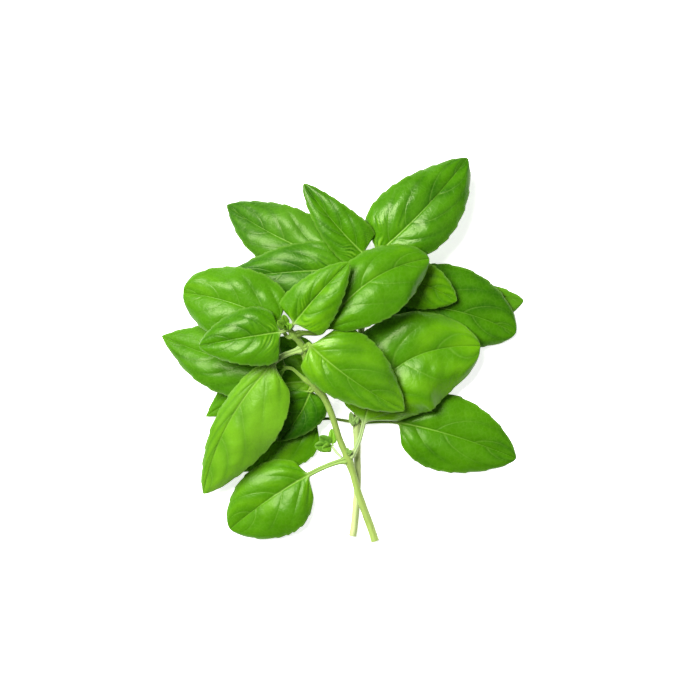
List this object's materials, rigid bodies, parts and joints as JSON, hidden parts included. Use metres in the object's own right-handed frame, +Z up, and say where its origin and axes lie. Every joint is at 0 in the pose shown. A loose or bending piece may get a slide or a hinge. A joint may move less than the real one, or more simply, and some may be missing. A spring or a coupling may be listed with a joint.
{
  "type": "basil bunch",
  "caption": "Loose bunch of fresh sweet basil lying flat: leafy shoots crossed at their cut stems, with broad glossy puckered leaves in opposite pairs.",
  "frame": {"origin": "centre of the bounding box's underside, on the surface that the bunch lies on", "axes": "+Y from the cut ends of the stems to the growing tips, +Z up from the surface, +X to the right as seen from above"},
  "size_m": [0.1642, 0.174, 0.0431],
  "materials": {
    "stem": "smooth pale green herb stem, slightly translucent, satin",
    "young_leaf": "young basil leaf, bright yellow-green, glossy, puckered between the veins",
    "leaf": "full-grown basil leaf, saturated green, glossy, puckered between the veins",
    "bud": "unopened leaflets, bright green, satin"
  },
  "bodies": {
    "root": {"front_stem": "stem", "rear_stem": "stem", "front_crown_leaf_right": "young_leaf", "front_crown_leaf_left": "young_leaf", "front_upper_leaf_left": "young_leaf", "front_upper_leaf_right": "young_leaf", "rear_top_leaf_right": "young_leaf", "rear_top_leaf_middle": "young_leaf", "front_middle_leaf_left": "leaf", "front_middle_leaf_right": "leaf", "front_lower_leaf_left": "leaf", "front_lower_leaf_inner": "leaf", "front_bottom_leaf_left": "leaf", "front_bottom_leaf_right": "leaf", "rear_upper_leaf_left": "leaf", "rear_upper_leaf_right": "leaf", "rear_middle_leaf_left": "leaf", "rear_middle_leaf_right": "leaf", "rear_lower_leaf_right": "leaf", "rear_lower_leaf_left": "leaf", "rear_bottom_leaf_right": "leaf", "rear_bottom_leaf_left": "leaf", "front_crown_leaflets": "bud", "front_side_shoot_left": "bud", "front_side_bud_right": "bud", "rear_side_bud": "bud"}
  },
  "joints": []
}
